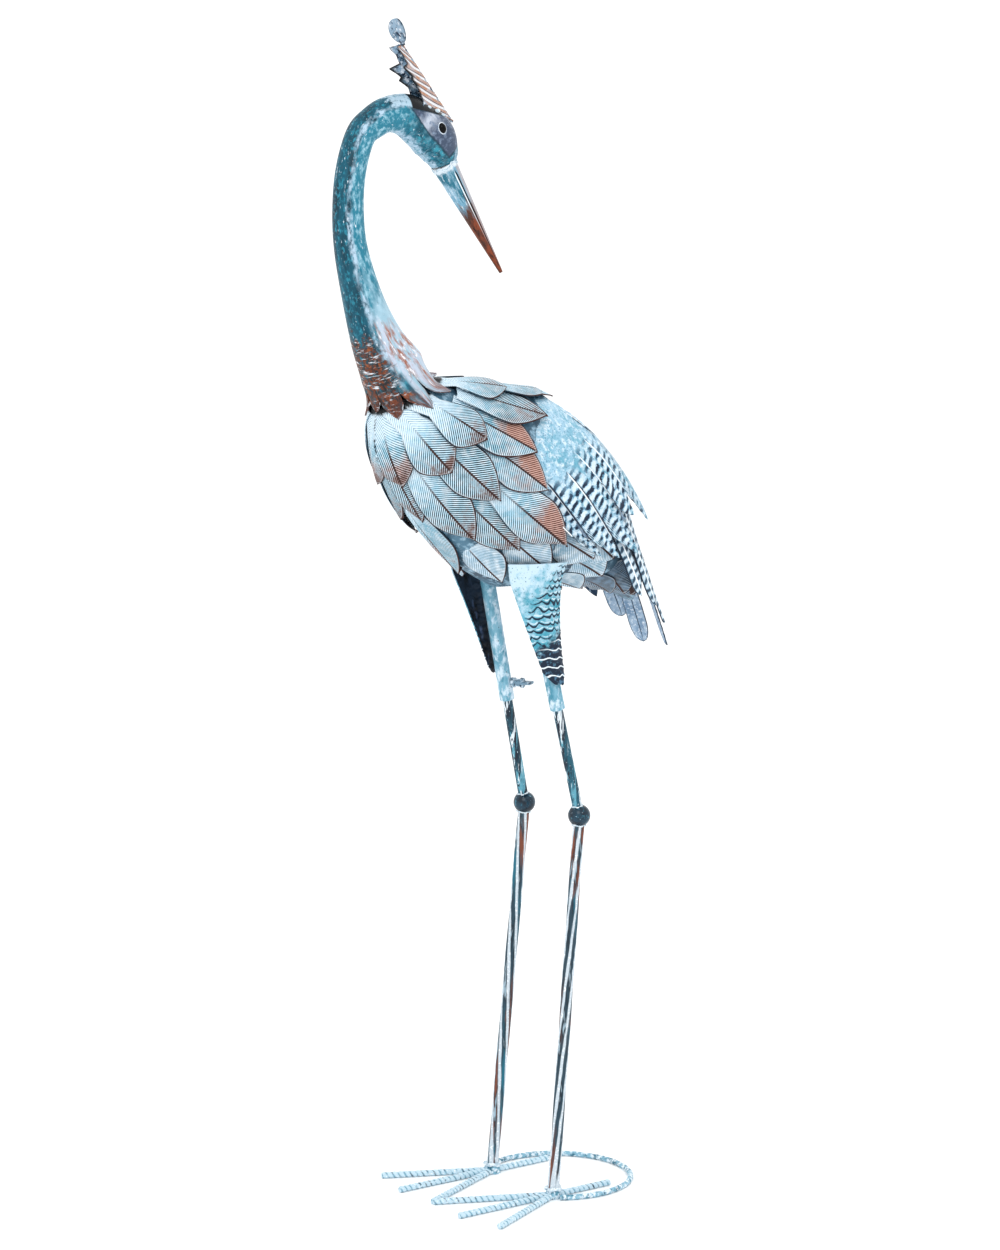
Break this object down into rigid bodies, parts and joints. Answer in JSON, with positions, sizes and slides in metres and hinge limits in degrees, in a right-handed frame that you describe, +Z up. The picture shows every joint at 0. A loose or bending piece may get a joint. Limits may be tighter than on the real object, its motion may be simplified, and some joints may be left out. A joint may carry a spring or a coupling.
{
  "type": "crane garden statue",
  "caption": "Standing sheet-metal garden crane with an S-curved neck, leaf-shaped feathers, rod legs, toed feet and a hoop that steadies it.",
  "frame": {"origin": "on the ground, in the middle of the statue's bounding box", "axes": "+Z up, the bird faces -X, its left side is -Y"},
  "size_m": [0.3572, 0.1926, 1.0602],
  "materials": {
    "powder_blue_paint": "mottled brushed paint on stamped steel, semi-matt",
    "teal_paint": "mottled teal paint, satin",
    "rust_brown_paint": "rust-brown brushed paint, satin",
    "pale_steel_paint": "pale blue brushed paint over steel, satin",
    "dark_enamel": "dark blue-green enamel, gloss",
    "black_glass": "black bead, gloss"
  },
  "bodies": {
    "root": {"bill": "rust_brown_paint", "body_shell": "powder_blue_paint", "clamp_screw_left": "pale_steel_paint", "clamp_screw_right": "pale_steel_paint", "crest": "powder_blue_paint", "eye_left": "black_glass", "eye_right": "black_glass", "feather_a1_left": "powder_blue_paint", "feather_a1_right": "powder_blue_paint", "feather_a2_left": "powder_blue_paint", "feather_a2_right": "powder_blue_paint", "feather_a3_left": "powder_blue_paint", "feather_a3_right": "powder_blue_paint", "feather_a4_left": "powder_blue_paint", "feather_a4_right": "powder_blue_paint", "feather_b1_left": "powder_blue_paint", "feather_b1_right": "powder_blue_paint", "feather_b2_left": "powder_blue_paint", "feather_b2_right": "powder_blue_paint", "feather_b3_left": "powder_blue_paint", "feather_b3_right": "powder_blue_paint", "feather_b4_left": "powder_blue_paint", "feather_b4_right": "powder_blue_paint", "feather_b5_left": "powder_blue_paint", "feather_b5_right": "powder_blue_paint", "feather_b6_left": "powder_blue_paint", "feather_b6_right": "powder_blue_paint", "feather_c1_left": "powder_blue_paint", "feather_c1_right": "powder_blue_paint", "feather_c2_left": "powder_blue_paint", "feather_c2_right": "powder_blue_paint", "feather_c3_left": "powder_blue_paint", "feather_c3_right": "powder_blue_paint", "feather_c4_middle": "powder_blue_paint", "foot_left": "pale_steel_paint", "foot_right": "pale_steel_paint", "hoop": "pale_steel_paint", "knee_ball_left": "dark_enamel", "knee_ball_right": "dark_enamel", "leg_socket_left": "powder_blue_paint", "leg_socket_right": "powder_blue_paint", "lower_leg_left": "teal_paint", "lower_leg_right": "teal_paint", "neck_and_head": "teal_paint", "tail_feather_1_left": "pale_steel_paint", "tail_feather_1_right": "pale_steel_paint", "tail_feather_2_left": "pale_steel_paint", "tail_feather_2_right": "pale_steel_paint", "tail_feather_3_left": "pale_steel_paint", "tail_feather_3_right": "pale_steel_paint", "tail_feather_4_left": "pale_steel_paint", "tail_feather_4_right": "pale_steel_paint", "thigh_plate_left": "powder_blue_paint", "thigh_plate_right": "powder_blue_paint", "upper_leg_left": "teal_paint", "upper_leg_right": "teal_paint", "wing_left": "powder_blue_paint", "wing_right": "powder_blue_paint"}
  },
  "joints": []
}
